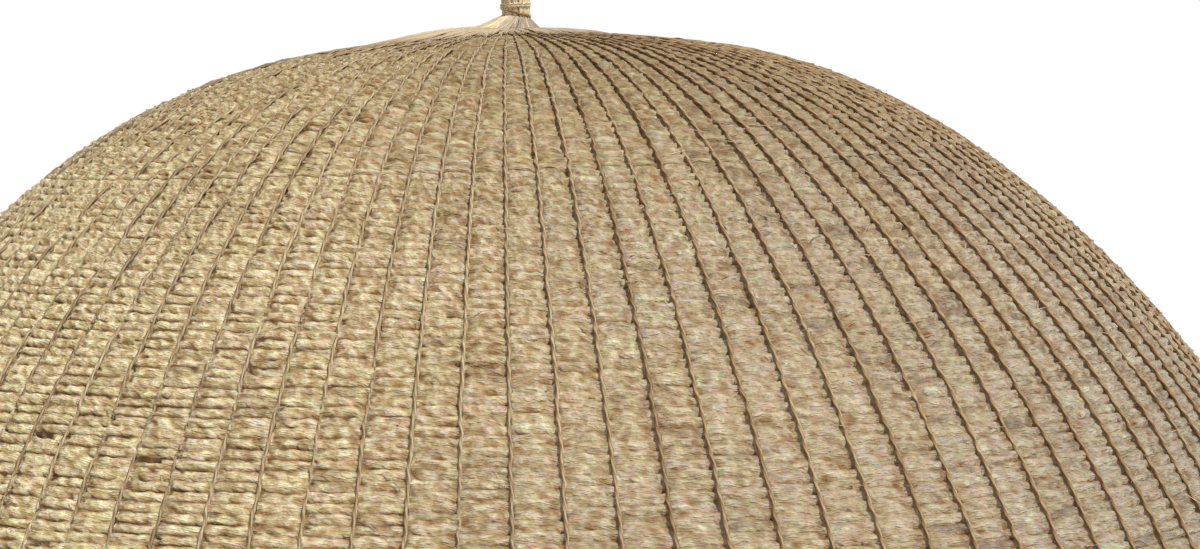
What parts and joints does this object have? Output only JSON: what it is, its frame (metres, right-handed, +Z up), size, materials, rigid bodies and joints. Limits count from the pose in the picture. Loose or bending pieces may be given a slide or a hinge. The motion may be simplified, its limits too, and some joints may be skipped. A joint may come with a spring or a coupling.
{
  "type": "domed grass hut",
  "caption": "Domed hut of dry grass thatch on a frame of bent saplings, held by a net of plaited grass ropes that run down from a knotted tuft, with one low arched doorway.",
  "frame": {"origin": "on the ground at the middle of the hut", "axes": "+Z up, -Y out through the doorway, +X to the right of someone who faces the doorway from outside"},
  "size_m": [6.0974, 6.0978, 3.0543],
  "materials": {
    "thatch": "dry grass, matt and rough",
    "grass_rope": "plaited dry grass, matt",
    "pole_wood": "bare saplings, matt",
    "clay": "smoothed clay, matt"
  },
  "bodies": {
    "root": {"clay_floor": "clay", "threshold": "clay", "post_left": "pole_wood", "post_right": "pole_wood", "cross_beam": "pole_wood", "long_saplings_left": "pole_wood", "long_saplings_right": "pole_wood", "cross_saplings_front": "pole_wood", "cross_saplings_back": "pole_wood", "door_arch_outer": "pole_wood", "door_arch_middle": "pole_wood", "door_arch_inner": "pole_wood", "foot_thatch_front_right": "thatch", "foot_thatch_right": "thatch", "foot_thatch_back_right": "thatch", "foot_thatch_back_left": "thatch", "foot_thatch_left": "thatch", "foot_thatch_front_left": "thatch", "wall_thatch_front_right": "thatch", "wall_thatch_right": "thatch", "wall_thatch_back_right": "thatch", "wall_thatch_back_left": "thatch", "wall_thatch_left": "thatch", "wall_thatch_front_left": "thatch", "shoulder_thatch_front": "thatch", "shoulder_thatch_front_right": "thatch", "shoulder_thatch_back_right": "thatch", "shoulder_thatch_back": "thatch", "shoulder_thatch_back_left": "thatch", "shoulder_thatch_front_left": "thatch", "crown_thatch": "thatch", "rope_net_front": "grass_rope", "rope_net_front_right": "grass_rope", "rope_net_back_right": "grass_rope", "rope_net_back": "grass_rope", "rope_net_back_left": "grass_rope", "rope_net_front_left": "grass_rope", "foot_hoop": "grass_rope", "knot_skirt": "thatch", "knot_binding": "grass_rope", "knot_tuft": "thatch"}
  },
  "joints": []
}
